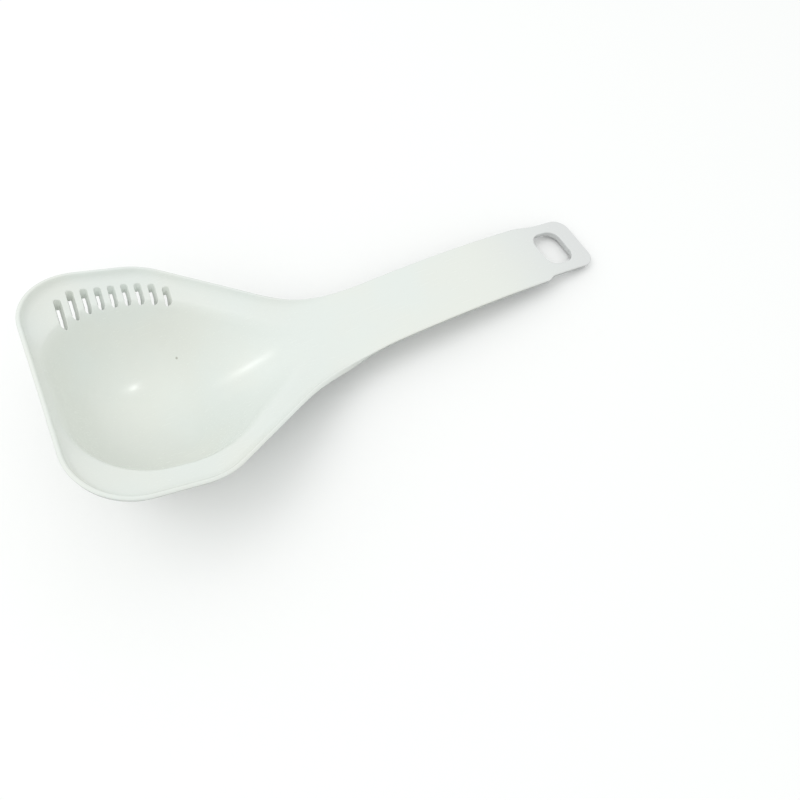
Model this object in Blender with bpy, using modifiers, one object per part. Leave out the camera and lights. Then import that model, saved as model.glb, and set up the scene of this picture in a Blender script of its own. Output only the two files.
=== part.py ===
# Soup ladle for a rice cooker or multicooker, moulded in one piece in white plastic.
# Bowl, lip and handle are one loft: ribs run from the outline, over the lip, the sloping
# ledge and the wall, to the centre line. Solidify gives the shell its wall.
# It is drawn in its moulding position, with the bowl's rim level: x runs from the straight
# pouring edge to the handle's end, y across, and z is up. It is then turned to lie as it does
# on a table, on the underside of the bowl and the end of the handle.
import math

import bmesh
import bpy
from mathutils import Vector

# Outline in plan, as half widths from the centre line (metres)
overall_length = 0.2203
front_half_width = 0.0464
front_corner_radius = 0.0220
shoulder_from_front = 0.0444
shoulder_half_width = 0.0473
shoulder_radius = 0.0260
neck_from_front = 0.1004
neck_radius = 0.0900
handle_half_width = 0.0157
tab_length = 0.0238
tab_half_width = 0.0141
tab_step_length = 0.0032
tab_corner_radius = 0.0064

# Side profile: level rim, then the knee under the neck, then the long arch of the handle
knee_from_front = 0.0835
knee_radius = 0.0880
knee_angle = math.radians(22.2)
handle_arch_radius = 0.5000

# Lip round the bowl, which leans outwards and lies down where the handle starts
lip_height = 0.0026
lip_angle = math.radians(82)
lip_foot_setback = 0.0009
lip_fade_start = 0.0745
lip_fade_length = 0.0420

# Ledge inside the lip, down to the edge of the deep bowl
ledge_front_width = 0.0051
ledge_side_width = 0.0118
ledge_corner_radius = 0.0265
ledge_shoulder_setback = 0.0040
ledge_shoulder_radius = 0.0400
ledge_drop = 0.0038
ledge_fade_start = 0.0425
ledge_fade_length = 0.0560
ledge_edge_setback = 0.0026
ledge_end_from_front = 0.0915
ledge_end_half_width = 0.0060
ledge_end_radius = 0.0160
rib_turn_length = 0.0300

# Deep bowl, and the valley in which it runs up to the neck
bowl_depth = 0.0370
bowl_low_point_from_front = 0.0295
bowl_floor_radius = 0.0400
valley_end_from_front = 0.0925
valley_blend = 0.0050
floor_roundness = 0.22

# Walls and edges
bowl_wall = 0.0020
handle_thickness = 0.0031
edge_radius = 0.0005
edge_segments = 2
edge_angle = math.radians(50)

# Drain slots along one side of the bowl
slot_count = 9
slot_pitch = 0.0046
slot_width = 0.0024
slot_end_radius = 0.0007
first_slot_from_front = 0.0144
first_slot_setback = 0.0020
slot_margin_to_outline = 0.0054
slot_reach_past_ledge = 0.0004

# Hanging hole in the tab
hole_length = 0.0132
hole_width = 0.0176
hole_corner_radius = 0.0042
hole_to_end = 0.0084

# Flat under the bowl, on which the ladle lies
rest_flat_depth = 0.0004

# Numbers of faces along the outline and across a rib
front_steps = 5
corner_steps = 9
side_steps = 4
shoulder_steps = 5
taper_steps = 7
neck_steps = 10
handle_steps = 13
step_steps = 2
tab_steps = 2
end_corner_steps = 4
end_steps = 2
lip_foot_steps = 3
ledge_steps = 3
ledge_edge_steps = 5
wall_steps = 9
cutter_segments = 4

# Limits that keep the shape sound when a size is changed
cutter_clearance = 0.0060
largest_share = 0.95
half_share = 0.45
least_turn = math.radians(1)
merge_distance = 0.00002
slope_step = 0.0001
halvings = 20

plastic_color = (0.80, 0.83, 0.79, 1.0)
plastic_roughness = 0.34


def clear_scene():
    for item in list(bpy.data.objects):
        bpy.data.objects.remove(item, do_unlink=True)


def new_collection(name):
    collection = bpy.data.collections.new(name)
    bpy.context.scene.collection.children.link(collection)
    return collection


def ease(start, length, value):
    # 0 before the start, 1 after the length, with level ends
    share = min(max((value - start) / length, 0.0), 1.0)
    return share * share * (3.0 - 2.0 * share)


def soft_lower(first, second, blend):
    # the lower of two heights, rounded where they cross
    share = min(max(0.5 + 0.5 * (second - first) / blend, 0.0), 1.0)
    return second + (first - second) * share - blend * share * (1.0 - share)


def line_points(start, end, steps):
    # points from start up to, and without, end
    return [start.lerp(end, index / steps) for index in range(steps)]


def corner_setback(place, before, after, radius):
    # how far from a corner the arc that rounds it meets the two straight lines
    half_turn = 0.5 * (math.pi - (before - place).angle(after - place))
    return radius * math.tan(half_turn)


def arc_points(corner, before, after, setback, steps):
    # an arc that rounds the corner between two straight lines, ends included
    toward = (before - corner).normalized()
    away = (after - corner).normalized()
    half_turn = 0.5 * (math.pi - toward.angle(away))
    if half_turn < least_turn:
        return [corner.copy() for _ in range(steps + 1)]
    reach = setback / math.tan(half_turn)
    centre = corner + (toward + away).normalized() * (reach / math.cos(half_turn))
    first = corner + toward * setback - centre
    last = corner + away * setback - centre
    turn = first.angle_signed(last)
    points = []
    for index in range(steps + 1):
        angle = -turn * index / steps
        cosine, sine = math.cos(angle), math.sin(angle)
        spun = Vector((first.x * cosine - first.y * sine, first.x * sine + first.y * cosine))
        points.append(centre + spun)
    return points


def rounded_path(corners, line_steps, arc_steps):
    # corners are (x, y, radius); the first and the last are the path's ends
    places = [Vector(corner[:2]) for corner in corners]
    inner = range(1, len(corners) - 1)
    setbacks = [0.0] * len(corners)
    for index in inner:
        setbacks[index] = corner_setback(places[index], places[index - 1], places[index + 1],
                                         corners[index][2])
    # two arcs that would meet on a short line share it
    for index in range(len(corners) - 1):
        room = largest_share * (places[index + 1] - places[index]).length
        both = setbacks[index] + setbacks[index + 1]
        if both > room:
            setbacks[index] *= room / both
            setbacks[index + 1] *= room / both
    points = []
    start = places[0]
    for index in inner:
        arc = arc_points(places[index], places[index - 1], places[index + 1],
                         setbacks[index], arc_steps[index - 1])
        points += line_points(start, arc[0], line_steps[index - 1])
        points += arc[:-1]
        start = arc[-1]
    points += line_points(start, places[-1], line_steps[-1])
    points.append(places[-1])
    return points


def outline_half():
    # the ladle's edge from the middle of the pouring edge to the middle of the handle's end
    step_start = overall_length - tab_length - tab_step_length
    bowl_and_handle = rounded_path(
        [(0.0, 0.0, 0.0),
         (0.0, front_half_width, front_corner_radius),
         (shoulder_from_front, shoulder_half_width, shoulder_radius),
         (neck_from_front, handle_half_width, neck_radius),
         (step_start, handle_half_width, 0.0)],
        [front_steps, side_steps, taper_steps, handle_steps],
        [corner_steps, shoulder_steps, neck_steps])
    tab_start = overall_length - tab_length
    step = line_points(Vector((step_start, handle_half_width)),
                       Vector((tab_start, tab_half_width)), step_steps)
    tab = rounded_path(
        [(tab_start, tab_half_width, 0.0),
         (overall_length, tab_half_width, tab_corner_radius),
         (overall_length, 0.0, 0.0)],
        [tab_steps, end_steps], [end_corner_steps])
    return bowl_and_handle[:-1] + step + tab


def ledge_edge_half(outline):
    # the inner edge of the ledge, with one point for each point of the outline
    path = rounded_path(
        [(ledge_front_width, 0.0, 0.0),
         (ledge_front_width, front_half_width - ledge_side_width, ledge_corner_radius),
         (shoulder_from_front + ledge_shoulder_setback,
          shoulder_half_width - ledge_side_width, ledge_shoulder_radius),
         (ledge_end_from_front, ledge_end_half_width, ledge_end_radius),
         (overall_length, ledge_end_half_width, 0.0)],
        [front_steps, side_steps, taper_steps, handle_steps],
        [corner_steps, shoulder_steps, neck_steps])
    neck = front_steps + corner_steps + side_steps + shoulder_steps + taper_steps
    points = path[:neck]
    # past the taper the ribs turn until they lie square to the handle
    lead = path[neck].x - outline[neck].x
    last = overall_length - tab_corner_radius
    for edge in outline[neck:]:
        x = edge.x + lead * (1.0 - ease(outline[neck].x, rib_turn_length, edge.x))
        points.append(Vector((min(x, last), min(path_y(path, x), 0.5 * edge.y))))
    return points


def path_y(points, x):
    # the path's y at a given x, on its outer side
    for first, second in zip(points, points[1:]):
        if first.x <= x < second.x:
            return first.y + (second.y - first.y) * (x - first.x) / (second.x - first.x)
    return points[-1].y


def side_height(x):
    # height of the rim and of the handle's face: level, knee arc, then the handle's arch
    knee_end = knee_from_front + knee_radius * math.sin(knee_angle)
    if x <= knee_from_front:
        return 0.0
    if x <= knee_end:
        return knee_radius - math.sqrt(knee_radius ** 2 - (x - knee_from_front) ** 2)
    knee_rise = knee_radius * (1.0 - math.cos(knee_angle))
    crown = knee_end + handle_arch_radius * math.sin(knee_angle)
    along = math.sqrt(handle_arch_radius ** 2 - (crown - x) ** 2)
    return knee_rise + along - handle_arch_radius * math.cos(knee_angle)


def side_slope(x):
    return (side_height(x) - side_height(x - slope_step)) / slope_step


def lip_lean(x):
    # angle of the lip's inner face: steep round the bowl, flat on the handle
    return lip_angle * (1.0 - ease(lip_fade_start, lip_fade_length, x))


def lip_foot_level(x):
    # the levels are heights above the side profile
    return -lip_height * math.sin(lip_lean(x))


def ledge_level(x):
    # the ledge's inner edge, below the foot of the lip
    return lip_foot_level(x) - ledge_drop * (1.0 - ease(ledge_fade_start, ledge_fade_length, x))


def floor_level(x):
    # centre line of the bowl: floor arc, straight valley, and a blend into the handle
    reach = x - bowl_low_point_from_front
    arc_length = bowl_floor_radius * math.sin(valley_angle())
    if reach <= 0.0:
        valley = -bowl_depth
    elif reach <= arc_length:
        valley = bowl_floor_radius - math.sqrt(bowl_floor_radius ** 2 - reach ** 2) - bowl_depth
    else:
        arc_rise = bowl_floor_radius * (1.0 - math.cos(valley_angle()))
        valley = arc_rise - bowl_depth + (reach - arc_length) * math.tan(valley_angle())
    return soft_lower(valley - side_height(x), ledge_level(x), valley_blend)


def valley_angle():
    # slope of the straight valley that leaves the floor's arc and ends at the neck
    run = valley_end_from_front - bowl_low_point_from_front
    rise = bowl_depth
    away = math.hypot(run, rise - bowl_floor_radius)
    return math.atan2(rise - bowl_floor_radius, run) + math.asin(bowl_floor_radius / away)


def outline_normal(outline, index):
    # unit vector into the ladle, square to the outline
    before = outline[max(index - 1, 0)]
    after = outline[min(index + 1, len(outline) - 1)]
    along = (after - before).normalized()
    if index == 0:
        along = Vector((0.0, 1.0))
    if index == len(outline) - 1:
        along = Vector((0.0, -1.0))
    return Vector((along.y, -along.x))


def blend_corner(start, corner, end, steps):
    # a quadratic curve from start to end with the corner as its control point
    points = []
    for index in range(steps + 1):
        share = index / steps
        near = start.lerp(corner, share)
        points.append(near.lerp(corner.lerp(end, share), share))
    return points


def rib(edge, normal, ledge, pole_start, pole_end):
    # points from the edge over lip, ledge and wall to the centre line
    lean = lip_lean(edge.x)
    top = (edge + normal * bowl_wall * math.sin(lean)).to_3d()
    foot = top + normal.to_3d() * lip_height * math.cos(lean)
    foot.z = lip_foot_level(edge.x)
    inner = Vector((ledge.x, ledge.y, ledge_level(ledge.x)))
    across = inner - foot
    foot_end = foot + across * min(lip_foot_setback / across.length, half_share)
    foot_start = foot + (top - foot) * (lip_foot_setback / lip_height)
    ledge_end = inner - across * min(ledge_edge_setback / across.length, half_share)
    target_x = min(max(ledge.x, pole_start), pole_end)
    target = Vector((target_x, 0.0, floor_level(target_x)))
    start = wall_share(inner, target, ledge_edge_setback)
    walls = [wall_point(inner, target, start + (1.0 - start) * index / wall_steps)
             for index in range(wall_steps + 1)]
    points = [top]
    points += blend_corner(foot_start, foot, foot_end, lip_foot_steps)
    points += [foot_end.lerp(ledge_end, index / ledge_steps) for index in range(1, ledge_steps)]
    points += blend_corner(ledge_end, inner, walls[0], ledge_edge_steps)
    points += walls[1:]
    return [Vector((point.x, point.y, point.z + side_height(point.x))) for point in points]


def wall_point(inner, target, share):
    # wall and floor: steep at the ledge and level at the centre line
    left = math.cos(0.5 * math.pi * share)
    fall = 1.0 - floor_roundness * left ** 2 - (1.0 - floor_roundness) * left ** 4
    flat = target.lerp(inner, left)
    return Vector((flat.x, flat.y, inner.z + (target.z - inner.z) * fall))


def wall_share(inner, target, distance):
    # the share of the wall at which it is this far from the ledge's edge
    low, high = 0.0, half_share
    for _ in range(halvings):
        middle = 0.5 * (low + high)
        if (wall_point(inner, target, middle) - inner).length < distance:
            low = middle
        else:
            high = middle
    return low


def make_sheet():
    # the inner face of one half, as a loft of ribs
    outline = outline_half()
    ledge = ledge_edge_half(outline)
    pole_start = bowl_low_point_from_front
    pole_end = overall_length - hole_to_end - 0.5 * hole_length
    work = bmesh.new()
    rows = []
    for index, edge in enumerate(outline):
        normal = outline_normal(outline, index)
        points = rib(edge, normal, ledge[index], pole_start, pole_end)
        rows.append([work.verts.new(point) for point in points])
    for row, following in zip(rows, rows[1:]):
        for index in range(len(row) - 1):
            work.faces.new((row[index], row[index + 1], following[index + 1], following[index]))
    for corner in rows[0] + rows[-1]:
        corner.co.y = 0.0
    bmesh.ops.remove_doubles(work, verts=work.verts, dist=merge_distance)
    bmesh.ops.recalc_face_normals(work, faces=work.faces)
    work.faces.ensure_lookup_table()
    if sum(face.normal.z for face in work.faces) < 0.0:
        bmesh.ops.reverse_faces(work, faces=work.faces)
    for face in work.faces:
        face.smooth = True
    mesh = bpy.data.meshes.new("ladle")
    work.to_mesh(mesh)
    work.free()
    return mesh


def make_plastic():
    material = bpy.data.materials.new("white_plastic")
    material.use_nodes = True
    shader = material.node_tree.nodes["Principled BSDF"]
    shader.inputs["Base Color"].default_value = plastic_color
    shader.inputs["Roughness"].default_value = plastic_roughness
    shader.inputs["Metallic"].default_value = 0.0
    return material


def make_ladle(collection):
    ladle = bpy.data.objects.new("ladle", make_sheet())
    collection.objects.link(ladle)
    ladle.data.materials.append(make_plastic())
    thicker = ladle.vertex_groups.new(name="handle_thickness")
    for vertex in ladle.data.vertices:
        share = ease(lip_fade_start, lip_fade_length, vertex.co.x)
        thicker.add([vertex.index], share, "REPLACE")
    halves = ladle.modifiers.new("both_halves", "MIRROR")
    halves.use_axis = (False, True, False)
    halves.use_clip = True
    halves.merge_threshold = merge_distance
    shell = ladle.modifiers.new("wall", "SOLIDIFY")
    shell.thickness = handle_thickness
    shell.offset = -1.0
    shell.use_even_offset = True
    shell.vertex_group = thicker.name
    shell.thickness_vertex_group = bowl_wall / handle_thickness
    rounded = ladle.modifiers.new("rounded_edges", "BEVEL")
    rounded.width = edge_radius
    rounded.segments = edge_segments
    rounded.limit_method = "ANGLE"
    rounded.angle_limit = edge_angle
    # the loft's faces are slightly twisted, and flat triangles cut cleanly
    ladle.modifiers.new("flat_faces", "TRIANGULATE")
    return ladle


def block(size):
    work = bmesh.new()
    bmesh.ops.create_cube(work, size=1.0)
    bmesh.ops.scale(work, verts=work.verts, vec=size)
    return work


def prism(size, corner_radius):
    # a block with its four upright edges rounded, centred on the origin
    work = block(size)
    upright = [edge for edge in work.edges
               if abs(edge.verts[0].co.z - edge.verts[1].co.z) > 0.5 * size[2]]
    bmesh.ops.bevel(work, geom=upright, offset=corner_radius, segments=cutter_segments,
                    affect="EDGES", profile=0.5)
    return work


def make_cutter(name, work, collection):
    mesh = bpy.data.meshes.new(name)
    work.to_mesh(mesh)
    work.free()
    cutter = bpy.data.objects.new(name, mesh)
    collection.objects.link(cutter)
    cutter.hide_render = True
    cutter.display_type = "WIRE"
    return cutter


def cut(part, cutter):
    # the cutter turns and moves with the part that it cuts
    cutter.parent = part
    opening = part.modifiers.new(cutter.name, "BOOLEAN")
    opening.operation = "DIFFERENCE"
    opening.solver = "EXACT"
    opening.object = cutter


def cut_slots(ladle, collection):
    # straight slots through ledge and upper wall, in the moulding direction
    outline = outline_half()
    ledge = ledge_edge_half(outline)
    all_slots = bmesh.new()
    for index in range(slot_count):
        x = first_slot_from_front + index * slot_pitch
        outer = path_y(outline, x) - slot_margin_to_outline
        if index == 0:
            outer -= first_slot_setback
        inner = path_y(ledge, x) - slot_reach_past_ledge
        slot = prism((slot_width, outer - inner, 2.0 * bowl_depth),
                     min(slot_end_radius, half_share * slot_width))
        bmesh.ops.translate(slot, verts=slot.verts, vec=(x, 0.5 * (outer + inner), 0.0))
        single = bpy.data.meshes.new("single_slot")
        slot.to_mesh(single)
        slot.free()
        all_slots.from_mesh(single)
        bpy.data.meshes.remove(single)
    cut(ladle, make_cutter("slot_cutters", all_slots, collection))


def cut_hole(ladle, collection):
    # the hanging hole, square to the handle's face
    centre_x = overall_length - hole_to_end - 0.5 * hole_length
    slope = math.atan(side_slope(centre_x))
    height = handle_thickness + 2.0 * cutter_clearance
    cutter = make_cutter("hanging_hole_cutter",
                         prism((hole_length, hole_width, height), hole_corner_radius), collection)
    cutter.location = (centre_x, 0.0, side_height(centre_x) - 0.5 * handle_thickness)
    cutter.rotation_euler = (0.0, -slope, 0.0)
    cut(ladle, cutter)


def rest_angle():
    # the tilt at which the flat under the bowl and the handle's end touch the table
    floor_centre = Vector((bowl_low_point_from_front, bowl_floor_radius - bowl_depth))
    reach = bowl_floor_radius + bowl_wall - rest_flat_depth
    slope = math.atan(side_slope(overall_length))
    under = handle_thickness - edge_radius
    end = Vector((overall_length - edge_radius * math.cos(slope) + under * math.sin(slope),
                  side_height(overall_length) - edge_radius * math.sin(slope)
                  - under * math.cos(slope)))
    away = floor_centre - end
    drop = (reach - edge_radius) / away.length
    return -math.acos(drop) - math.atan2(away.x, away.y)


def cut_rest_flat(ladle, collection, tilt):
    # a block whose top face is the table that the bowl lies on
    centre = Vector((bowl_low_point_from_front, 0.0, bowl_floor_radius - bowl_depth))
    down = Vector((math.sin(tilt), 0.0, -math.cos(tilt)))
    side = front_half_width
    table = make_cutter("rest_flat_cutter", block((side, side, side)), collection)
    depth = bowl_floor_radius + bowl_wall - rest_flat_depth + 0.5 * side
    table.location = centre + down * depth
    table.rotation_euler = (0.0, -tilt, 0.0)
    cut(ladle, table)


def stand(part, tilt):
    # turn the part to its rest, then put the middle of its footprint over the origin
    part.rotation_euler = (0.0, tilt, 0.0)
    bpy.context.view_layer.update()
    graph = bpy.context.evaluated_depsgraph_get()
    mesh = part.evaluated_get(graph).to_mesh()
    corners = [part.matrix_world @ vertex.co for vertex in mesh.vertices]
    low = [min(corner[axis] for corner in corners) for axis in range(3)]
    high = [max(corner[axis] for corner in corners) for axis in range(3)]
    part.evaluated_get(graph).to_mesh_clear()
    part.location = (-0.5 * (low[0] + high[0]), -0.5 * (low[1] + high[1]), -low[2])


clear_scene()
parts = new_collection("soup_ladle")
cutters = new_collection("cutters")
ladle = make_ladle(parts)
tilt = rest_angle()
cut_rest_flat(ladle, cutters, tilt)
cut_hole(ladle, cutters)
cut_slots(ladle, cutters)
stand(ladle, tilt)
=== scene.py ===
import math

import bmesh
import bpy
import numpy as np
from mathutils import Matrix, Vector
from mathutils.geometry import delaunay_2d_cdt


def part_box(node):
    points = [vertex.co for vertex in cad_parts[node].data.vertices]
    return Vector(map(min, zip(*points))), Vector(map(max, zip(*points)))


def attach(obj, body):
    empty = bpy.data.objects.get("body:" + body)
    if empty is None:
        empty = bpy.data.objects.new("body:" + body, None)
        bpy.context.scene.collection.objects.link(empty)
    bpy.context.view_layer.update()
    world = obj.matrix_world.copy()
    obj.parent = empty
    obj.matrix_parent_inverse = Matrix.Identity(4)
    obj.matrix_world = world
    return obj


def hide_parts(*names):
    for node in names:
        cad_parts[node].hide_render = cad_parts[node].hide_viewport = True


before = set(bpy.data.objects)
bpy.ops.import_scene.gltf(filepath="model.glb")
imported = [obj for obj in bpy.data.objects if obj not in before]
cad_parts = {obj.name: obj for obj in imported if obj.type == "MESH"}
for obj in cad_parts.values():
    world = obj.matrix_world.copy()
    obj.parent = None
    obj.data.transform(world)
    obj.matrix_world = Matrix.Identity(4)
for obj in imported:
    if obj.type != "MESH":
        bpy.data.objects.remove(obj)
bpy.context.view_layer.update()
print("frame loaded")


def addThing(name, data):
    # a new object in the scene
    thing = bpy.data.objects.new(name, data)
    bpy.context.scene.collection.objects.link(thing)
    return thing


# The camera of the photograph: its place, and its three axes in the ladle's frame

camera = {
    "place": (-0.056676, -0.131518, 0.220064),
    "right": (0.881242, -0.472278, 0.019150),
    "up": (0.411864, 0.787129, 0.459125),
    "back": (-0.231908, -0.396713, 0.888165),
    "lens": 28.35,
    "sensor": 36.0,
    "nearest": 0.005,
}


def makeCamera(s):
    # the axes are the columns of its turn; lens and sensor are in millimetres
    data = bpy.data.cameras.new("camera")
    data.lens = s["lens"]
    data.sensor_width = s["sensor"]
    data.clip_start = s["nearest"]
    thing = addThing("camera", data)
    axes = Matrix((s["right"], s["up"], s["back"])).transposed()
    thing.matrix_world = Matrix.Translation(s["place"]) @ axes.to_4x4()
    bpy.context.scene.camera = thing
    print("camera set")


# The ladle, drawn with its rim level: x from the pouring edge to the handle's end, y across
# towards the slots, z up. Lengths in metres, angles in degrees.

ladle = {
    # outline in plan
    "length": 0.22024,
    "frontHalfWidth": 0.0464,
    "frontRadius": 0.0220,
    "shoulder": 0.0444,
    "shoulderHalfWidth": 0.0473,
    "shoulderRadius": 0.0260,
    "neck": 0.1004,
    "neckRadius": 0.0900,
    "handleHalfWidth": 0.0157,
    "tabLength": 0.0238,
    "tabHalfWidth": 0.0141,
    "tabStep": 0.0032,
    "tabStepRadius": 0.0030,
    "tabRadius": 0.0064,
    # on the side with the slots the tab narrows over this length, from this far off the middle
    "farTaper": 0.0120,
    "farTaperAcross": (0.0105, 0.0030),
    # side profile of rim and handle
    "knee": 0.0835,
    "kneeRadius": 0.0880,
    "kneeAngle": 22.2,
    "archRadius": 0.5000,
    # lip, and the fillet at its foot
    "lipHeight": 0.0029,
    "lipAngle": 70.0,
    "lipWall": 0.0014,
    "lipFade": 0.0745,
    "lipFadeLength": 0.0420,
    "footWidth": 0.0014,
    "footWide": 0.0012,
    "footWideFrom": (0.0080, 0.0200),
    "footNarrow": (0.0520, 0.0150),
    "footMost": 0.9,
    "edgeBand": 0.0010,
    "rimRadius": 0.00062,
    "handleDraft": 0.36,
    "tuckPull": 0.45,
    "tuckSteps": 8,
    # ledge inside the lip
    "ledgeFront": 0.0051,
    "ledgeSide": 0.0118,
    "ledgeRadius": 0.0265,
    "ledgeShoulder": 0.0040,
    "ledgeShoulderRadius": 0.0400,
    "ledgeDrop": 0.0038,
    "ledgeFade": 0.0425,
    "ledgeFadeLength": 0.0560,
    "ledgeEnd": 0.0915,
    "ledgeEndHalfWidth": 0.0060,
    "ledgeEndRadius": 0.0160,
    # the least and the most that the width may be, and how far past its ends the slope goes on
    "ledgeWidths": (0.0020, 0.0200),
    "ledgeBeyond": (-1.0, 1.6),
    "crease": 0.0024,
    "creaseFront": 0.0062,
    "creaseFrontLength": 0.0340,
    "underCrease": 0.0042,
    # deep bowl and its valley
    "depth": 0.0370,
    "lowPoint": 0.0295,
    "lowPointBlend": 0.0120,
    "floorRadius": 0.0400,
    "valleyEnd": 0.0925,
    "valleyBlend": 0.0050,
    "floorRoundness": 0.22,
    "valleyRoundness": 0.90,
    "valleyStart": 0.0450,
    "valleyStartLength": 0.0250,
    "wallBeyond": 1.8,
    # walls, and the flat it lies on
    "bowlWall": 0.0020,
    "handleWall": 0.0031,
    "restDepth": 0.0004,
    # drain slots, and the pad of thicker wall round them
    "slots": 9,
    "firstSlot": 0.0144,
    "firstSlotSetback": 0.0020,
    "slotPitch": 0.0046,
    "slotWidth": 0.0024,
    "slotRadius": 0.0009,
    "slotMargin": 0.0054,
    "slotReach": 0.0004,
    "slotEdge": 0.00030,
    "slotDraft": 0.0007,
    "slotPad": 0.0014,
    "slotPadFront": 0.7,
    "slotPadFrontEnd": 0.0160,
    "slotPadEnds": (0.0000, 0.0700),
    "slotPadEndBlend": 0.0150,
    "slotPadAcross": (0.0022, 0.0210),
    "slotPadBlends": (0.0045, 0.0085),
    # hanging hole
    "holeLength": 0.0139,
    "holeWidth": 0.0179,
    "holeRadius": 0.0053,
    "holeToEnd": 0.0079,
    "holeEdge": 0.00045,
    "holeDraft": 0.0006,
    # how finely it is drawn
    "pathStep": 0.00002,
    "nearStep": 0.0003,
    "rimStep": 0.0007,
    "bowlStep": 0.00055,
    "handleStep": 0.0013,
    "slopeStep": 0.0001,
    "gridClear": 0.7,
    "bendShares": (0.25, 0.5, 0.75, 1.0),
    "slotSteps": (5, 2, 14),
    "holeSteps": (8, 5, 10),
    "fitRounds": 40,
    "fitShare": 0.6,
}


def ease(start, length, value):
    # 0 before the start, 1 after the length, with level ends: three squares less two cubes
    share = np.clip((value - start) / length, 0.0, 1.0)
    return share * share * (3.0 - 2.0 * share)


def softLower(first, second, blend):
    # the lower of two heights, rounded where they cross, by at most a quarter of the blend
    share = np.clip(0.5 + 0.5 * (second - first) / blend, 0.0, 1.0)
    return second + (first - second) * share - blend * share * (1.0 - share)


def unit(vectors):
    # each vector divided by its length
    return vectors / np.linalg.norm(vectors, axis=1, keepdims=True)


def batches(count):
    # slices of a long list, short enough that their table of distances stays small
    size = 4000
    return [slice(start, start + size) for start in range(0, count, size)]


def roundedPath(corners, step):
    # straight lines joined by arcs: a corner is x, y and radius. An arc starts at its radius
    # times the tangent of half the turn, and two arcs share a short line
    fill, straight = 0.95, 0.002
    corners = np.array(corners)
    places, radii = corners[:, :2], corners[:, 2]
    lines = np.diff(places, axis=0)
    lengths = np.linalg.norm(lines, axis=1)
    along = lines / lengths[:, None]
    side = np.stack([-along[:, 1], along[:, 0]], axis=1)
    turns = np.arctan2(np.sum(side[:-1] * along[1:], axis=1), np.sum(along[:-1] * along[1:], axis=1))
    setbacks = np.zeros(len(places))
    setbacks[1:-1] = radii[1:-1] * np.tan(0.5 * np.abs(turns))
    for line, length in enumerate(lengths):
        both = setbacks[line] + setbacks[line + 1]
        if both > fill * length:
            setbacks[line:line + 2] *= fill * length / both
    runs = [places[:1]]
    for corner, turn in enumerate(turns, start=1):
        if abs(turn) < straight:
            runs.append(places[corner:corner + 1])
            continue
        radius = setbacks[corner] / math.tan(0.5 * abs(turn))
        inward = side[corner - 1] * math.copysign(1.0, turn)
        start = places[corner] - along[corner - 1] * setbacks[corner]
        angle = np.linspace(0.0, abs(turn), max(3, int(radius * abs(turn) / step)))[:, None]
        runs.append(start + radius * ((1.0 - np.cos(angle)) * inward
                                      + np.sin(angle) * along[corner - 1]))
    runs.append(places[-1:])
    return evenly(np.concatenate(runs), step)


def evenly(points, step):
    # the same path with its points at equal distances
    gaps = np.linalg.norm(np.diff(points, axis=0), axis=1)
    run = np.concatenate([[0.0], np.cumsum(gaps)])
    wanted = np.linspace(0.0, run[-1], int(round(run[-1] / step)) + 1)
    return np.stack([np.interp(wanted, run, points[:, axis]) for axis in (0, 1)], axis=1)


def inwardNormals(path):
    # the path's direction turned a quarter to the right, which is into the ladle
    direction = unit(np.gradient(path, axis=0))
    direction[0] = (0.0, 1.0)
    direction[-1] = (0.0, -1.0)
    return np.stack([direction[:, 1], -direction[:, 0]], axis=1)


def sideHeight(s, x):
    # level rim, an arc for the knee, then the long arch of the handle, each tangent to the last
    angle = math.radians(s["kneeAngle"])
    kneeEnd = s["knee"] + s["kneeRadius"] * math.sin(angle)
    arc = np.sqrt(np.maximum(s["kneeRadius"] ** 2 - (x - s["knee"]) ** 2, 0.0))
    crown = kneeEnd + s["archRadius"] * math.sin(angle)
    arch = np.sqrt(s["archRadius"] ** 2 - (crown - x) ** 2)
    rise = s["kneeRadius"] * (1.0 - math.cos(angle)) - s["archRadius"] * math.cos(angle)
    height = np.where(x > kneeEnd, rise + arch, s["kneeRadius"] - arc)
    return np.where(x > s["knee"], height, 0.0)


def lipLean(s, x):
    # steep round the bowl, lying down where the handle starts
    return math.radians(s["lipAngle"]) * (1.0 - ease(s["lipFade"], s["lipFadeLength"], x))


def thickened(s, wall, x):
    # the wall of the bowl or lip, growing to the handle's where the lip lies down
    return wall + (s["handleWall"] - wall) * ease(s["lipFade"], s["lipFadeLength"], x)


def footLevel(s, x):
    # the lip's foot is below the rim by its height times the sine of its lean
    return -s["lipHeight"] * np.sin(lipLean(s, x))


def ledgeDrop(s, x):
    # how far the ledge falls from the lip's foot to its inner edge, less towards the handle
    return s["ledgeDrop"] * (1.0 - ease(s["ledgeFade"], s["ledgeFadeLength"], x))


def footDistance(s, x):
    # from the outline to the foot of the lip: the wall, then the lip seen from above
    lean = lipLean(s, x)
    height = s["edgeBand"] + (s["lipHeight"] - s["edgeBand"]) * lean / math.radians(s["lipAngle"])
    return thickened(s, s["lipWall"], x) * np.sin(lean) + height * np.cos(lean)


def footWidthAt(s, edge):
    # the fillet at the lip's foot: wide along the sides of the bowl, but not beside the slots
    x, y = edge[:, 0], edge[:, 1]
    wide = ease(*s["footWideFrom"], x) * np.where(y > 0.0, ease(*s["footNarrow"], x), 1.0)
    return s["footWidth"] + s["footWide"] * wide * lipLean(s, x) / math.radians(s["lipAngle"])


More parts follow.
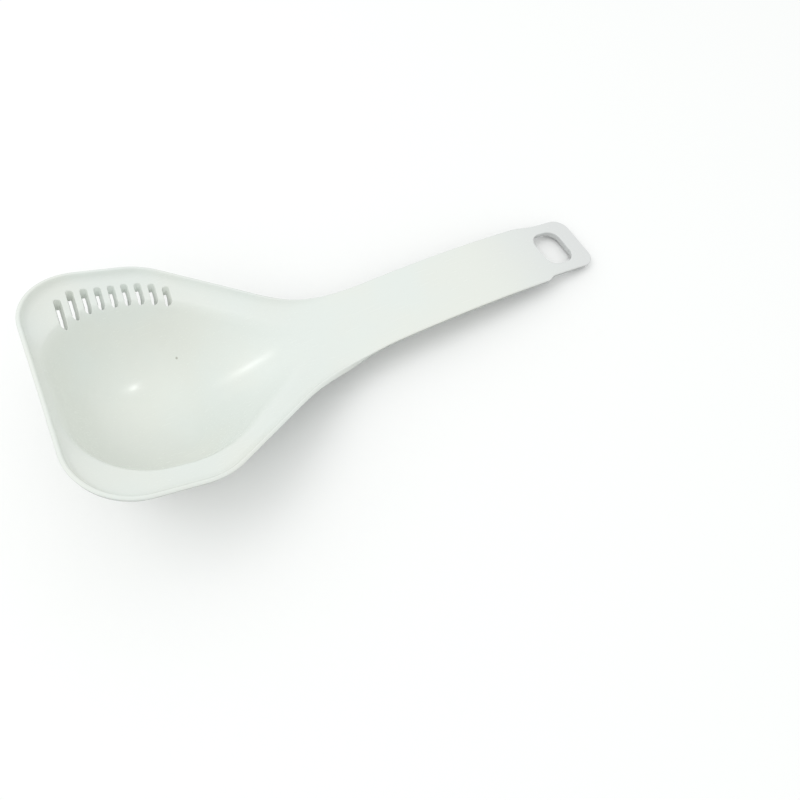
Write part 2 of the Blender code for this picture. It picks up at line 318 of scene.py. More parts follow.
def floorLevel(s, x):
    # centre line of the bowl: an arc, the straight valley that touches it, the handle's face
    run = s["valleyEnd"] - s["lowPoint"]
    rise = s["depth"] - s["floorRadius"]
    slope = math.atan2(rise, run) + math.asin(s["floorRadius"] / math.hypot(run, rise))
    reach = x - s["lowPoint"]
    arcEnd = s["floorRadius"] * math.sin(slope)
    arc = s["floorRadius"] - np.sqrt(np.maximum(s["floorRadius"] ** 2 - reach ** 2, 0.0))
    line = s["floorRadius"] * (1.0 - math.cos(slope)) + (reach - arcEnd) * math.tan(slope)
    valley = np.where(reach > arcEnd, line, np.where(reach > 0.0, arc, 0.0)) - s["depth"]
    ledge = footLevel(s, x) - ledgeDrop(s, x)
    return softLower(valley - sideHeight(s, x), ledge, s["valleyBlend"])


class Plan:
    # the curves in plan that the heights are measured from, worked out once
    def __init__(self, s):
        step = s["pathStep"]
        stepStart = s["length"] - s["tabLength"] - s["tabStep"]
        self.edge = roundedPath([
            (0.0, 0.0, 0.0),
            (0.0, s["frontHalfWidth"], s["frontRadius"]),
            (s["shoulder"], s["shoulderHalfWidth"], s["shoulderRadius"]),
            (s["neck"], s["handleHalfWidth"], s["neckRadius"]),
            (stepStart, s["handleHalfWidth"], s["tabStepRadius"]),
            (s["length"] - s["tabLength"], s["tabHalfWidth"], s["tabStepRadius"]),
            (s["length"], s["tabHalfWidth"], s["tabRadius"]),
            (s["length"], 0.0, 0.0)], step)
        self.edgeNormal = inwardNormals(self.edge)
        self.ledge = roundedPath([
            (s["ledgeFront"], 0.0, 0.0),
            (s["ledgeFront"], s["frontHalfWidth"] - s["ledgeSide"], s["ledgeRadius"]),
            (s["shoulder"] + s["ledgeShoulder"], s["shoulderHalfWidth"] - s["ledgeSide"],
             s["ledgeShoulderRadius"]),
            (s["ledgeEnd"], s["ledgeEndHalfWidth"], s["ledgeEndRadius"]),
            (s["length"], s["ledgeEndHalfWidth"], 0.0)], step)
        # how fast the edge turns, for the true distance beside a curved edge
        bend = np.sum(np.gradient(self.edgeNormal, step, axis=0) * np.gradient(self.edge, step, axis=0),
                      axis=1)
        every = int(round(s["nearStep"] / step))
        self.near = self.edge[::every]
        self.nearNormal = self.edgeNormal[::every]
        self.nearBend = -bend[::every]
        self.run = np.arange(len(self.near)) * step * every
        self.ledgeWidth = self.widthAcross(s)
        # the ledge's inner edge seen from the lowest point
        away = self.ledge - (s["lowPoint"], 0.0)
        self.ledgeAngle = np.arctan2(away[:, 1], away[:, 0])[::-1]
        self.ledgeReach = np.linalg.norm(away, axis=1)[::-1]

    def widthAcross(self, s):
        # from the foot of the lip, square to the edge, to the ledge's inner edge, of which every
        # tenth point is enough. Where nothing is crossed it counts as a metre away
        inner = self.ledge[::10]
        toward = inner[None, :, :] - self.near[:, None, :]
        ahead = np.einsum("ijk,ik->ij", toward, self.nearNormal)
        aside = toward[..., 0] * self.nearNormal[:, None, 1] - toward[..., 1] * self.nearNormal[:, None, 0]
        crosses = (aside[:, :-1] * aside[:, 1:] <= 0.0) & (ahead[:, :-1] > 0.0)
        share = aside[:, :-1] / np.where(crosses, aside[:, :-1] - aside[:, 1:], 1.0)
        reach = ahead[:, :-1] + share * np.diff(ahead, axis=1)
        reach = np.where(crosses, reach, 1.0).min(axis=1)
        return np.clip(reach - footDistance(s, self.near[:, 0]), *s["ledgeWidths"])

    def fromEdge(self, x, y):
        # distance from the outline, and how far along it the nearest place is: the distance to
        # the nearest point's tangent, less half the bend times the square of the way beside it.
        # Deep inside a bend the outline's scale shrinks, but never below the least
        least = 0.2
        points = np.stack([x, y], axis=1)
        index = np.empty(len(points), dtype=int)
        for rows in batches(len(points)):
            gaps = points[rows, None, :] - self.near[None, :, :]
            index[rows] = np.einsum("ijk,ijk->ij", gaps, gaps).argmin(axis=1)
        away = points - self.near[index]
        normal = self.nearNormal[index]
        inside = np.sum(away * normal, axis=1)
        beside = away[:, 1] * normal[:, 0] - away[:, 0] * normal[:, 1]
        shrink = np.maximum(1.0 - self.nearBend[index] * inside, least)
        distance = inside - 0.5 * self.nearBend[index] * beside ** 2 / shrink
        return distance, self.run[index] + beside / shrink


def valleyHeight(s, plan, x, y, level, low):
    # towards the handle, straight across: the fall from the ledge's level to the centre line is
    # 1 less a share of the square and of the fourth power of the way out
    soft = s["floorRoundness"] + (s["valleyRoundness"] - s["floorRoundness"]) * ease(
        s["valleyStart"], s["valleyStartLength"], x)
    sideways = np.maximum(np.interp(x, plan.ledge[:, 0], plan.ledge[:, 1]), s["ledgeFront"])
    out = np.minimum(y / sideways, s["wallBeyond"])
    return level + (low - level) * (1.0 - soft * out ** 2 - (1.0 - soft) * out ** 4)


def frontHeight(s, plan, x, y, level):
    # towards the pouring edge, round the lowest point: the same fall, whose square starts as an
    # oval and ends along the ledge's inner edge
    soft = s["floorRoundness"]
    ahead = x - s["lowPoint"]
    reach = np.interp(np.arctan2(y, ahead), plan.ledgeAngle, plan.ledgeReach)
    out = np.minimum(np.hypot(ahead, y) / reach, s["wallBeyond"])
    sideways = np.interp(0.5 * math.pi, plan.ledgeAngle, plan.ledgeReach)
    oval = (ahead / (s["lowPoint"] - s["ledgeFront"])) ** 2 + (y / sideways) ** 2
    oval = oval + (out ** 2 - oval) * ease(0.0, 1.0, out)
    return level - (s["depth"] + level) * (1.0 - soft * oval - (1.0 - soft) * out ** 4)


def innerHeight(s, plan, flat, crease):
    # height of the inner face over points of the plan: the lower of the ledge, a slope from the
    # lip's foot, and the bowl's wall, rounded by the crease where they meet
    x, y = flat[:, 0], np.abs(flat[:, 1])
    distance, run = plan.fromEdge(x, y)
    foot = np.interp(run, plan.run, footDistance(s, plan.near[:, 0]))
    across = (distance - foot) / np.interp(run, plan.run, plan.ledgeWidth)
    ledge = footLevel(s, x) - ledgeDrop(s, x) * np.clip(across, *s["ledgeBeyond"])
    level = footLevel(s, x) - ledgeDrop(s, x)
    low = floorLevel(s, x)
    valley = valleyHeight(s, plan, x, y, level, low)
    front = frontHeight(s, plan, x, y, level)
    wall = front + (valley - front) * ease(s["lowPoint"], s["lowPointBlend"], x)
    # a softer edge at the front, and at most half the way down to the centre line. The blend is
    # divided by, so it never falls to nothing
    least = 1e-7
    soft = 1.0 - ease(0.0, s["creaseFrontLength"], x)
    crease = crease + (s["creaseFront"] - s["crease"]) * soft
    blend = np.maximum(np.minimum(crease, 0.5 * (level - low)), least)
    return sideHeight(s, x) + softLower(ledge, wall, blend)


def slopesOf(height, flat, step):
    # how fast a height rises along x and along y: its change from a step before to a step after
    return [(height(flat + shift) - height(flat - shift)) / (2.0 * step)
            for shift in (np.array((step, 0.0)), np.array((0.0, step)))]


def lift(s, plan, flat, crease):
    # points of the plan raised to the face, with the face's own normals
    def face(places):
        return innerHeight(s, plan, places, crease)

    slopes = slopesOf(face, flat, s["slopeStep"])
    normals = unit(np.stack([-slopes[0], -slopes[1], np.ones(len(flat))], axis=1))
    return np.column_stack([flat, face(flat)]), normals


def slotPad(s, plan, flat):
    # the wall is thicker round the slots, more so at the front: a low pad with soft sides
    x, y = flat[:, 0], flat[:, 1]
    inward = np.interp(x, plan.edge[:, 0], plan.edge[:, 1]) - y
    (first, last), soft = s["slotPadEnds"], s["slotPadEndBlend"]
    along = ease(first, soft, x) * (1.0 - ease(last - soft, soft, x))
    (outer, inner), (outerSoft, innerSoft) = s["slotPadAcross"], s["slotPadBlends"]
    across = ease(outer, outerSoft, inward) * (1.0 - ease(inner - innerSoft, innerSoft, inward))
    front = 1.0 + s["slotPadFront"] * (1.0 - ease(s["slotPadFrontEnd"], soft, x))
    return s["slotPad"] * front * along * across * (y > 0.0)


def under(s, plan, flat):
    # the outer face: the inner one, made softer, moved by the wall along its normals, which the
    # pad's slopes then tilt
    def pad(places):
        return slotPad(s, plan, places)

    points, normals = lift(s, plan, flat, s["underCrease"])
    wall = thickened(s, s["bowlWall"], flat[:, 0]) + pad(flat)
    slopes = slopesOf(pad, flat, s["slopeStep"])
    tilted = unit(normals + np.stack([slopes[0], slopes[1], np.zeros(len(flat))], axis=1))
    return points - normals * wall[:, None], -tilted


def underOver(s, plan, flat):
    # where in the plan to start so that the outer face lies straight under the given points:
    # each round moves the start by a share of what is still missing
    begin = flat.copy()
    for _ in range(s["fitRounds"]):
        found = under(s, plan, begin)[0]
        begin = begin + s["fitShare"] * (flat - found[:, :2])
    return begin


def bent(first, control, last, shares):
    # quadratic curves, one for each point of the three rows
    return [(1 - share) ** 2 * first + 2 * share * (1 - share) * control + share ** 2 * last
            for share in shares]


def swept(first, leave, arrive, last, shares):
    # cubic curves that leave and arrive along given directions
    second, third = first + leave, last - arrive
    return [(1 - share) ** 3 * first + 3 * share * (1 - share) ** 2 * second
            + 3 * share ** 2 * (1 - share) * third + share ** 3 * last for share in shares]


def roundedBox(centre, halfX, halfY, radius, grow, steps):
    # a closed loop, grown outwards: four arcs with straight runs between, each split into the
    # given steps
    arcSteps, xSteps, ySteps = steps
    arcs = []
    for quarter, (signX, signY) in enumerate(((1, 1), (-1, 1), (-1, -1), (1, -1))):
        angle = 0.5 * math.pi * (quarter + np.linspace(0.0, 1.0, arcSteps + 1))
        hub = np.array((signX * (halfX - radius), signY * (halfY - radius)))
        arcs.append(hub + (radius + grow) * np.stack([np.cos(angle), np.sin(angle)], axis=1))
    loop = []
    for quarter, arc in enumerate(arcs):
        following = arcs[(quarter + 1) % 4][0]
        share = np.linspace(0.0, 1.0, (xSteps if quarter % 2 == 0 else ySteps) + 1)[1:-1, None]
        loop += [arc, arc[-1] + (following - arc[-1]) * share]
    return np.concatenate(loop) + centre


def isInside(points, loop):
    # counts the loop's sides that lie to the right of each point: inside, their number is odd
    result = np.zeros(len(points), dtype=bool)
    ends = np.roll(loop, -1, axis=0)
    for rows in batches(len(points)):
        x, y = points[rows, 0:1], points[rows, 1:2]
        spans = (loop[:, 1] > y) != (ends[:, 1] > y)
        rise = np.where(spans, ends[:, 1] - loop[:, 1], 1.0)
        crossing = loop[:, 0] + (y - loop[:, 1]) * (ends[:, 0] - loop[:, 0]) / rise
        result[rows] = np.sum(spans & (x < crossing), axis=1) % 2 == 1
    return result


def clearOf(points, loops, distance):
    # which points are further than the distance from every point of the loops
    corners = np.concatenate(loops)
    keep = np.ones(len(points), dtype=bool)
    for rows in batches(len(points)):
        gaps = points[rows, None, :] - corners[None, :, :]
        keep[rows] = np.einsum("ijk,ijk->ij", gaps, gaps).min(axis=1) > distance ** 2
    return keep


def staggered(low, high, step):
    # points in rows, each second row moved by half a step, for even triangles
    rowShare = 0.866
    xs = np.arange(low[0] + 0.5 * step, high[0], step)
    ys = np.arange(low[1] + 0.5 * step, high[1], step * rowShare)
    x, y = np.meshgrid(xs, ys)
    x = x + 0.5 * step * (np.arange(len(ys)) % 2)[:, None]
    return np.stack([x.ravel(), y.ravel()], axis=1)


def fillPlan(s, outer, holes):
    # flat triangles between an outer loop and its holes, small over the bowl. The triangulation
    # works in millimetres, and its tolerance is a millionth of one
    millimetres, tolerance = 1000.0, 1e-6
    low, high = outer.min(axis=0), outer.max(axis=0)
    split = s["lipFade"] + s["lipFadeLength"]
    fine = staggered((low[0], low[1]), (split, high[1]), s["bowlStep"])
    coarse = staggered((split, -s["handleHalfWidth"]), (high[0], s["handleHalfWidth"]), s["handleStep"])
    inner = []
    for grid, step in ((fine, s["bowlStep"]), (coarse, s["handleStep"])):
        grid = grid[isInside(grid, outer)]
        for hole in holes:
            grid = grid[~isInside(grid, hole)]
        inner.append(grid[clearOf(grid, [outer] + holes, s["gridClear"] * step)])
    points = np.concatenate([outer] + holes + inner)
    sides = []
    start = 0
    for loop in [outer] + holes:
        index = np.arange(start, start + len(loop))
        sides.append(np.stack([index, np.roll(index, -1)], axis=1))
        start += len(loop)
    sides = np.concatenate(sides)
    made = delaunay_2d_cdt((points * millimetres).tolist(), sides.tolist(), [], 0, tolerance, False)
    if len(made[0]) != len(points):
        raise ValueError("the loops of the plan cross")
    return points, withinLoops(np.array(made[2]), sides, len(points))


def withinLoops(faces, sides, count):
    # the outer loop runs clockwise and the holes don't, so a face to the left of a loop's side
    # is outside, and so is each face that is reached from it without crossing a loop
    ends = np.roll(faces, -1, axis=1)
    forward = faces * count + ends
    backward = ends * count + faces
    loop = sides[:, 0] * count + sides[:, 1]
    isLoop = np.isin(forward, loop)
    outside = isLoop.any(axis=1)
    onLoops = np.isin(faces, sides[:, 0]).all(axis=1)
    while True:
        crossed = backward[outside][~isLoop[outside]]
        more = onLoops & ~outside & np.isin(forward, crossed).any(axis=1)
        if not more.any():
            return faces[~outside]
        outside |= more


class Shell:
    # gathers points, normals and faces of one closed surface
    def __init__(self):
        self.points = []
        self.normals = []
        self.faces = []
        self.count = 0

    def add(self, points, normals=None):
        # gives back the new points' numbers; a normal of zero is worked out from the faces
        self.points.append(points)
        self.normals.append(np.zeros_like(points) if normals is None else normals)
        self.count += len(points)
        return np.arange(self.count - len(points), self.count)

    def wall(self, first, rows, last):
        # closed strips of four-sided faces, from a row that is there over new ones to another
        numbers = [first] + [self.add(row) for row in rows] + [last]
        for upper, lower in zip(numbers, numbers[1:]):
            self.faces += np.stack([upper, np.roll(upper, -1), np.roll(lower, -1), lower],
                                   axis=1).tolist()


def outline(s, plan):
    # the whole outline and its inward normals at even steps: one half, then its mirror image
    pick = np.round(np.linspace(0, len(plan.edge) - 1, int(plan.run[-1] / s["rimStep"]))).astype(int)
    return [np.concatenate([half[pick], half[pick][-2:0:-1] * (1.0, -1.0)])
            for half in (plan.edge, plan.edgeNormal)]


def rimRows(s, edge, normal, inner, innerNormal, outer):
    # profile of the lip and of the handle's edge: a fillet from the inner face up to the top, two
    # rounded corners a wall apart, and a sweep back under to the outer face
    x = edge[:, 0]
    wall = thickened(s, s["lipWall"], x)[:, None]
    lean = lipLean(s, x)
    across = np.column_stack([normal, np.zeros(len(x))])
    slope = -np.sum(innerNormal[:, :2] * normal, axis=1) / innerNormal[:, 2]
    inward = across + slope[:, None] * (0.0, 0.0, 1.0)
    width = footWidthAt(s, edge)[:, None]
    foot = inner - width * inward
    top = edge + normal * wall * np.sin(lean)[:, None]
    top = np.column_stack([top, sideHeight(s, top[:, 0])])
    tall = np.linalg.norm(top - foot, axis=1, keepdims=True)
    rise = (top - foot) / tall
    sideways = np.sum(rise * across, axis=1, keepdims=True)
    out = -rise[:, 2:] * across + sideways * (0.0, 0.0, 1.0)
    # the handle's edge leans in on its way down
    out = unit(out + across * (s["handleDraft"] * (1.0 - lean / math.radians(s["lipAngle"])))[:, None])
    r = s["rimRadius"]
    far = top + out * wall
    shares = s["bendShares"]
    rows = bent(inner, foot, foot + rise * np.minimum(width, s["footMost"] * (tall - r)), shares)
    rows += bent(top - rise * r, top, top + out * r, (0.0,) + shares)
    rows += bent(far - out * r, far, far - rise * r, (0.0,) + shares)
    pull = s["tuckPull"] * np.linalg.norm(outer - rows[-1], axis=1, keepdims=True)
    steps = np.arange(1, s["tuckSteps"]) / s["tuckSteps"]
    rows += swept(rows[-1], -rise * pull, unit(inward) * pull, outer, steps)
    return rows


def slotBoxes(s, plan):
    # centre, half widths and corner radius of each slot, which runs from beside the lip to the
    # ledge's inner edge. The first one starts further in, at the bend of the outline
    boxes = []
    for index in range(s["slots"]):
        x = s["firstSlot"] + index * s["slotPitch"]
        outerEnd = np.interp(x, plan.edge[:, 0], plan.edge[:, 1]) - s["slotMargin"]
        outerEnd -= s["firstSlotSetback"] if index == 0 else 0.0
        innerEnd = np.interp(x, plan.ledge[:, 0], plan.ledge[:, 1]) - s["slotReach"]
        boxes.append((np.array((x, 0.5 * (outerEnd + innerEnd))), 0.5 * s["slotWidth"],
                      0.5 * (outerEnd - innerEnd), s["slotRadius"]))
    return boxes


def holeBox(s):
    # centre, half widths and corner radius of the hole, shorter in plan by the handle's slope
    x = s["length"] - s["holeToEnd"] - 0.5 * s["holeLength"]
    slope = (sideHeight(s, x + s["slopeStep"]) - sideHeight(s, x)) / s["slopeStep"]
    return (np.array((x, 0.0)), 0.5 * s["holeLength"] * math.cos(math.atan(slope)),
            0.5 * s["holeWidth"], s["holeRadius"])


def openingLoops(box, edge, draft, steps):
    # an opening in plan: its wall and its rounded edge at the inner face, then both at the outer
    # face, where the opening is wider by the draft
    return [roundedBox(*box, grow, steps) for grow in (0.0, edge, draft, edge + draft)]


def makeLadle(s):
    # the two faces are filled between the outline and the openings, and walls join their loops
    plan = Plan(s)
    edge, normal = outline(s, plan)
    start = edge + normal * (footDistance(s, edge[:, 0]) + footWidthAt(s, edge))[:, None]
    slots = [openingLoops(box, s["slotEdge"], -s["slotDraft"], s["slotSteps"])
             for box in slotBoxes(s, plan)]
    slotWalls, slotEdges, narrowWalls, narrowEdges = zip(*slots)
    holeWall, holeEdge, wideWall, wideEdge = openingLoops(
        holeBox(s), s["holeEdge"], s["holeDraft"], s["holeSteps"])

    shell = Shell()
    flat, faces = fillPlan(s, start, [holeEdge, *slotEdges])
    points, normals = lift(s, plan, flat, s["crease"])
    top = shell.add(points, normals)
    shell.faces += faces.tolist()
    # the outer face's slot loops start where they come out straight below the inner ones
    underWalls, underEdges = [np.split(underOver(s, plan, np.concatenate(loops)), len(slots))
                              for loops in (narrowWalls, narrowEdges)]
    flatUnder, facesUnder = fillPlan(s, start, [wideEdge] + underEdges)
    pointsUnder, normalsUnder = under(s, plan, flatUnder)
    bottom = shell.add(pointsUnder, normalsUnder)
    shell.faces += bottom[facesUnder[:, ::-1]].tolist()
    print("inner and outer face drawn,", len(faces) + len(facesUnder), "triangles")

    place = len(start)
    rows = rimRows(s, edge, normal, points[:place], normals[:place], pointsUnder[:place])
    shell.wall(top[:place], rows, bottom[:place])
    # the hole's wall is nearly square to the face, and the slots' walls nearly straight down
    holeFace, holeNormal = lift(s, plan, holeWall, s["crease"])
    openings = [(holeFace, -holeNormal * s["holeEdge"], under(s, plan, wideWall)[0], [])]
    for wallLoop, narrowLoop, underLoop in zip(slotWalls, narrowWalls, underWalls):
        face = lift(s, plan, wallLoop, s["crease"])[0]
        back = under(s, plan, underLoop)[0]
        back[:, :2] = narrowLoop
        openings.append((face, np.array((0.0, 0.0, -s["slotEdge"])), back,
                         [face + (back - face) * 0.5]))
    for face, drop, back, middle in openings:
        end = place + len(face)
        rows = bent(points[place:end], face, face + drop, s["bendShares"]) + middle
        rows += bent(back - drop, back, pointsUnder[place:end], (0.0,) + s["bendShares"][:-1])
        shell.wall(top[place:end], rows, bottom[place:end])
        place = end
    print("rim, hanging hole and", len(slots), "slots closed")
    points, normals = settle(s, tapered(s, plan, np.concatenate(shell.points)),
                             np.concatenate(shell.normals))
    return makeSkin(points, normals, shell.faces)


def tapered(s, plan, points):
    # on the side with the slots the handle narrows to its end slowly, not in a step: points
    # there move by the slow width less the step's
    x, y = points[:, 0], points[:, 1]
    start = s["length"] - s["tabLength"] - s["tabStep"]
    step = np.interp(x, plan.edge[:, 0], plan.edge[:, 1])
    slow = s["handleHalfWidth"] + (s["tabHalfWidth"] - s["handleHalfWidth"]) * ease(
        start, s["farTaper"], x)
    there = (x > start - s["tabStep"]) & (x < s["length"] - s["tabRadius"])
    shift = np.where(there, slow - step, 0.0) * ease(*s["farTaperAcross"], y)
    return points + np.column_stack([np.zeros(len(x)), shift, np.zeros(len(x))])


def settle(s, points, normals):
    # turned about y so that the handle's end and the arc under the bowl touch one level, which
    # cuts the flat there, and moved over the middle of the solid's place
    centre = np.array((s["lowPoint"], s["floorRadius"] - s["depth"]))
    reach = s["floorRadius"] + s["bowlWall"] - s["restDepth"]
    below = points[points[:, 0] > s["length"] - s["tabRadius"]]
    away = below[:, (0, 2)] - centre
    tilt = np.min(np.arcsin(reach / np.linalg.norm(away, axis=1)) + np.arctan2(away[:, 1], away[:, 0]))
    cosine, sine = math.cos(tilt), math.sin(tilt)
    turn = np.array(((cosine, 0.0, sine), (0.0, 1.0, 0.0), (-sine, 0.0, cosine)))
    points = points @ turn.T
    normals = normals @ turn.T
    low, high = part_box("ladle")
    middle = 0.5 * (points[:, 0].min() + points[:, 0].max())
    points[:, 0] += 0.5 * (low[0] + high[0]) - middle
    points[:, 2] += reach - (centre[1] * cosine - centre[0] * sine)
    points[:, 2] = np.maximum(points[:, 2], 0.0)
    return points, normals


def makeSkin(points, normals, faces):
    # one closed mesh, its faces turned out, smooth shaded with the normals worked out above
    mesh = bpy.data.meshes.new("ladleSkin")
    mesh.from_pydata(points.tolist(), [], faces)
    work = bmesh.new()
    work.from_mesh(mesh)
    bmesh.ops.recalc_face_normals(work, faces=work.faces)
    if work.calc_volume(signed=True) < 0.0:
        bmesh.ops.reverse_faces(work, faces=work.faces)
    work.to_mesh(mesh)
    work.free()
    mesh.polygons.foreach_set("use_smooth", np.ones(len(mesh.polygons), dtype=bool))
    mesh.normals_split_custom_set_from_vertices(normals.tolist())
    thing = addThing("ladleSkin", mesh)
    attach(thing, "root")
    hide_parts("ladle")
    print("ladle laid down,", len(mesh.polygons), "faces")
    return thing


class Socket:
    # one output of a shader node: sums, differences and products of it add Math nodes
    def __init__(self, tree, link=None):
        self.tree = tree
        self.link = link

    def node(self, kind, settings, values, output=0):
        # any node: its settings first, then the values or links of its sockets
        made = self.tree.nodes.new(kind)
        for name, value in settings.items():
            setattr(made, name, value)
        for name, value in values.items():
            if isinstance(value, Socket):
                self.tree.links.new(value.link, made.inputs[name])
            else:
                made.inputs[name].default_value = value
        return Socket(self.tree, made.outputs[output])

    def math(self, operation, first, second):
        return self.node("ShaderNodeMath", {"operation": operation}, {0: first, 1: second})

    def __add__(self, other):
        return self.math("ADD", self, other)

    def __radd__(self, other):
        return self.math("ADD", other, self)

    def __sub__(self, other):
        return self.math("SUBTRACT", self, other)

    def __rsub__(self, other):
        return self.math("SUBTRACT", other, self)

    def __mul__(self, other):
        return self.math("MULTIPLY", self, other)

    def __rmul__(self, other):
        return self.math("MULTIPLY", other, self)

    def between(self, low, high):
        # 0 at low, 1 at high, with soft ends
        return self.node("ShaderNodeMapRange", {"interpolation_type": "SMOOTHSTEP"},
                         {"Value": self, "From Min": low, "From Max": high})

    def noise(self, scale, detail=2.0):
        # uneven grey from 0 to 1, mostly near a half; the scale is in patches per metre
        return self.node("ShaderNodeTexNoise", {}, {"Vector": self, "Scale": scale, "Detail": detail})

    def near(self, place, radius, core=0.0):
        # 1 at a place and over its core, 0 from the radius outwards
        away = self.node("ShaderNodeVectorMath", {"operation": "DISTANCE"}, {0: self, 1: place}, "Value")
        return 1.0 - away.between(core * radius, radius)

    def blend(self, share, first, second):
        # from the first colour to the second, by a share from 0 to 1
        return self.node("ShaderNodeMix", {"data_type": "RGBA"}, {0: share, 6: first, 7: second}, 2)


# Light and floor: an even sky, a soft lamp overhead, and two small lamps for the highlights

studio = {
    "sky": (0.985, 1.0, 0.99),
    "skyStrength": 0.94,
    "soft": {"place": (-0.35, 0.15, 0.75), "aim": (-0.02, 0.0, 0.01), "size": 0.50, "power": 0.9},
    "spots": (
        {"aim": (-0.0890, 0.0166, 0.0053), "toward": (0.348, -0.239, 0.907), "away": 0.60,
         "radius": 0.011, "power": 1.3, "angle": 6.0},
        {"aim": (-0.0445, 0.0024, 0.0100), "toward": (-0.420, 0.362, 0.832), "away": 0.60,
         "radius": 0.010, "power": 0.85, "angle": 3.2},
    ),
    "spotBlend": 1.0,
    "floorHalf": 1.6,
    "floorColor": (0.98, 0.98, 0.98),
    "floorBounce": (0.60, 0.60, 0.60),
    "floorGap": 0.0002,
}


def placeLamp(data, place, aim):
    # a lamp shines along its own -z, which is turned towards the aim
    thing = addThing(data.name, data)
    thing.location = place
    thing.rotation_euler = (Vector(aim) - Vector(place)).to_track_quat("-Z", "Y").to_euler()
    return thing


def makeLight(s):
    # the small lamps stand away from what they aim at, along a direction
    world = bpy.data.worlds.new("studio")
    bpy.context.scene.world = world
    world.use_nodes = True
    sky = world.node_tree.nodes["Background"]
    sky.inputs["Color"].default_value = (*s["sky"], 1.0)
    sky.inputs["Strength"].default_value = s["skyStrength"]
    soft = bpy.data.lights.new("softLamp", "AREA")
    soft.size = s["soft"]["size"]
    soft.energy = s["soft"]["power"]
    # too large to be seen in the plastic's gloss
    placeLamp(soft, s["soft"]["place"], s["soft"]["aim"]).visible_glossy = False
    for spot in s["spots"]:
        lamp = bpy.data.lights.new("smallLamp", "SPOT")
        lamp.energy = spot["power"]
        lamp.shadow_soft_size = spot["radius"]
        lamp.spot_size = math.radians(spot["angle"])
        lamp.spot_blend = s["spotBlend"]
        placeLamp(lamp, Vector(spot["aim"]) + Vector(spot["toward"]) * spot["away"], spot["aim"])
    print("lights set")


def makeFloor(s):
    # one square, just below the table's height
    h = s["floorHalf"]
    mesh = bpy.data.meshes.new("floor")
    corners = [(x, y, -s["floorGap"]) for x, y in ((-h, -h), (h, -h), (h, h), (-h, h))]
    mesh.from_pydata(corners, [], [(0, 1, 2, 3)])
    # white as the camera sees it, with the ladle's shadow, and greyer in the light it throws back
    material = bpy.data.materials.new("whiteFloor")
    material.use_nodes = True
    tree = material.node_tree
    tree.nodes.remove(tree.nodes["Principled BSDF"])
    begin = Socket(tree)
    seen = begin.node("ShaderNodeBsdfDiffuse", {}, {"Color": (*s["floorColor"], 1.0)})
    thrown = begin.node("ShaderNodeBsdfDiffuse", {}, {"Color": (*s["floorBounce"], 1.0)})
    byCamera = begin.node("ShaderNodeLightPath", {}, {}, "Is Camera Ray")
    mixed = begin.node("ShaderNodeMixShader", {}, {0: byCamera, 1: thrown, 2: seen})
    tree.links.new(mixed.link, tree.nodes["Material Output"].inputs["Surface"])
    mesh.materials.append(material)
    thing = addThing("floor", mesh)
    print("floor laid")
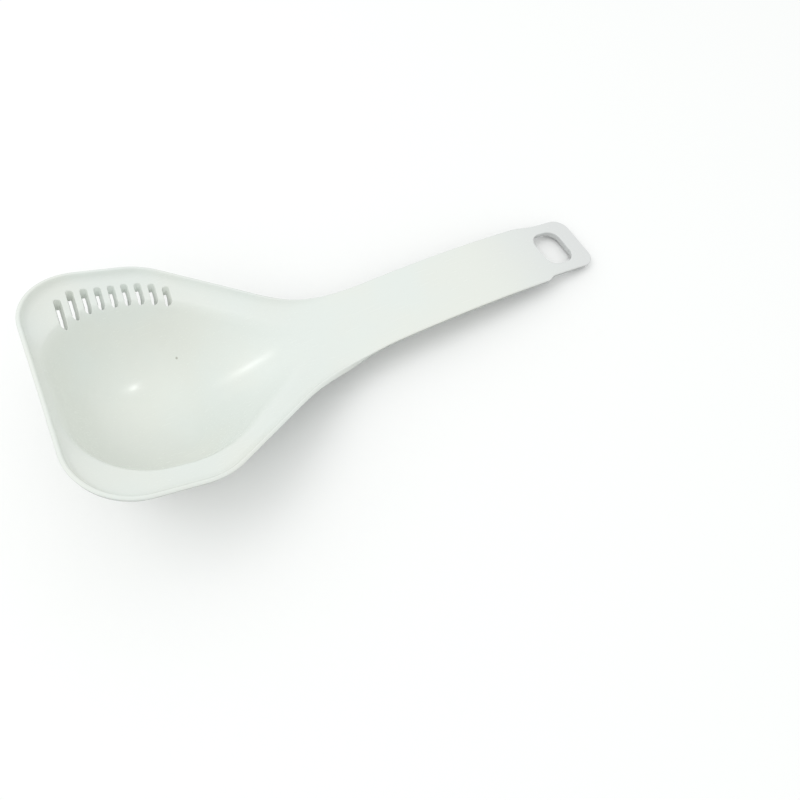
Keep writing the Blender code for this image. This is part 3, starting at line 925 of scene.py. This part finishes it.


# White plastic: cool and warm patches, painted shade on the wall under the slots, fine scratches
# from spoons and washing, a skin like the mould's, and the mark where the plastic was let in

plastic = {
    "cool": (0.792, 0.834, 0.803),
    "warm": (0.806, 0.830, 0.784),
    "patch": 26.0,
    "patchEnds": (0.35, 0.65),
    # painted shade on the far wall under the slots, darker and yellower
    "paintedShade": (0.775, 0.778, 0.738),
    "paintedShadePlace": (-0.0760, 0.0300, 0.0170),
    "paintedShadeReach": 0.034,
    "paintedShadeEven": 0.228,
    "paintedShadePatchy": 0.152,
    # painted shade towards the end of the handle
    "handleEndShade": (0.735, 0.745, 0.745),
    "handleEndShadeEnds": (0.050, 0.112),
    "roughness": 0.25,
    "roughnessSpread": 0.08,
    "roughPatch": 70.0,
    "roughDetail": 3.0,
    "scratchTurn": 0.5,
    "scratchScale": (40.0, 2600.0, 2600.0),
    "scratchEnds": (0.60, 0.75),
    "scratchRough": 0.05,
    "scratchDepth": 0.0000005,
    "skinScale": 900.0,
    "skinDepth": 0.000010,
    "gatePlace": (-0.0696, 0.0203, 0.0072),
    "gateRadius": 0.0008,
    "gateCore": 0.5,
    "gateColor": (0.46, 0.46, 0.41),
    "gateDepth": 0.00012,
}


def makePlastic(s):
    # colour, roughness and height are worked out at each place of the ladle
    material = bpy.data.materials.new("whitePlastic")
    material.use_nodes = True
    tree = material.node_tree
    shader = tree.nodes["Principled BSDF"]
    place = Socket(tree).node("ShaderNodeTexCoord", {}, {}, "Object")

    patches = place.noise(s["patch"]).between(*s["patchEnds"])
    color = place.blend(patches, (*s["cool"], 1.0), (*s["warm"], 1.0))
    # painted shade: darker and yellower on the far wall under the slots, uneven with the patches
    paintedShade = place.near(s["paintedShadePlace"], s["paintedShadeReach"]) * (patches * s["paintedShadePatchy"] + s["paintedShadeEven"])
    color = place.blend(paintedShade, color, (*s["paintedShade"], 1.0))
    # painted shade: greyer towards the end of the handle
    along = place.node("ShaderNodeSeparateXYZ", {}, {0: place}).between(*s["handleEndShadeEnds"])
    color = place.blend(along, color, (*s["handleEndShade"], 1.0))
    gate = place.near(s["gatePlace"], s["gateRadius"], s["gateCore"])
    color = place.blend(gate, color, (*s["gateColor"], 1.0))
    tree.links.new(color.link, shader.inputs["Base Color"])

    # scratches: noise drawn out along one direction, of which only the peaks show
    turn = (0.0, 0.0, s["scratchTurn"])
    drawnOut = place.node("ShaderNodeMapping", {},
                          {"Vector": place, "Rotation": turn, "Scale": s["scratchScale"]})
    scratches = drawnOut.noise(1.0).between(*s["scratchEnds"])
    uneven = place.noise(s["roughPatch"], s["roughDetail"]) * s["roughnessSpread"]
    rough = uneven + (s["roughness"] - 0.5 * s["roughnessSpread"]) + scratches * s["scratchRough"]
    tree.links.new(rough.link, shader.inputs["Roughness"])

    height = place.noise(s["skinScale"]) * s["skinDepth"] - scratches * s["scratchDepth"]
    height = height + gate * s["gateDepth"]
    bump = place.node("ShaderNodeBump", {}, {"Height": height, "Distance": 1.0})
    tree.links.new(bump.link, shader.inputs["Normal"])
    print("plastic mixed")
    return material


bpy.context.scene.view_settings.view_transform = "Standard"
makeCamera(camera)
makeLight(studio)
makeFloor(studio)
skin = makeLadle(ladle)
skin.data.materials.append(makePlastic(plastic))
